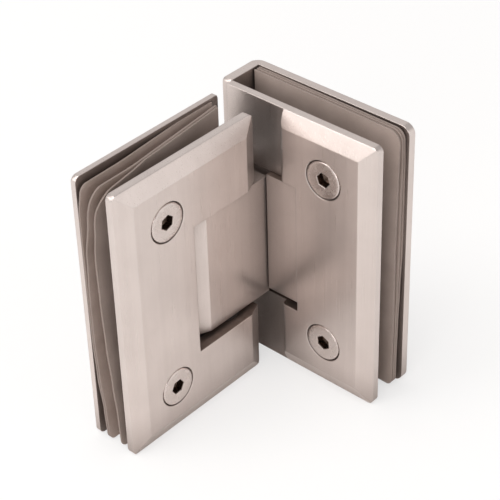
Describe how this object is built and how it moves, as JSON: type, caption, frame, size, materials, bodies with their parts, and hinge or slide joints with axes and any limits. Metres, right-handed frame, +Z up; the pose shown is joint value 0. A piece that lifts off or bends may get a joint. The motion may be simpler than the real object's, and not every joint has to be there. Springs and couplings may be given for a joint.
{
  "type": "glass door hinge",
  "caption": "Self-centring hinge that carries a glass door at right angles to a fixed glass panel, with bevelled clamp plates and a cam-pin pivot block.",
  "frame": {"origin": "centre of the bounding box at its bottom", "axes": "+Z up along the pivot axis; +X along the fixed wing, away from the corner; -Y along the closed door wing, away from the corner"},
  "size_m": [0.0578, 0.08, 0.09],
  "materials": {
    "satin_nickel": "satin nickel, fine grain",
    "satin_screw": "satin nickel screw",
    "plain_steel": "turned steel",
    "dark_steel": "blackened steel",
    "bearing_plastic": "dark bearing plastic",
    "sleeve_plastic": "grey-brown plastic",
    "liner_sheet": "pressed fibre sheet, matt"
  },
  "bodies": {
    "fixed_wing": {"fixed_back_plate": "satin_nickel", "fixed_front_plate": "satin_nickel", "pivot_block": "satin_nickel", "pivot_base": "satin_nickel", "pressure_plate": "plain_steel", "spring_upper": "plain_steel", "spring_lower": "plain_steel", "bush_upper": "bearing_plastic", "bush_lower": "bearing_plastic", "block_screw_upper": "satin_screw", "block_screw_lower": "satin_screw", "fixed_liner_rear": "liner_sheet", "fixed_liner_middle": "liner_sheet", "fixed_liner_front": "liner_sheet", "fixed_screw_upper": "satin_screw", "fixed_screw_lower": "satin_screw", "fixed_sleeve_upper": "sleeve_plastic", "fixed_sleeve_lower": "sleeve_plastic"},
    "door_wing": {"door_front_plate": "satin_nickel", "door_back_plate": "satin_nickel", "door_liner_rear": "liner_sheet", "door_liner_middle": "liner_sheet", "door_liner_front": "liner_sheet", "door_screw_upper": "satin_screw", "door_screw_lower": "satin_screw", "door_sleeve_upper": "sleeve_plastic", "door_sleeve_lower": "sleeve_plastic", "pivot_pin": "plain_steel", "pin_clamp_upper": "dark_steel", "pin_clamp_lower": "dark_steel", "set_screw_upper": "plain_steel", "set_screw_lower": "plain_steel", "clamp_screw_upper": "satin_screw", "clamp_screw_lower": "satin_screw"}
  },
  "joints": [
    {"name": "door_swing", "type": "hinge", "parent": "fixed_wing", "child": "door_wing", "pos_m": [-0.0165, 0.007, 0.045], "axis": [0, 0, 1], "range_deg": [-90, 90]}
  ]
}
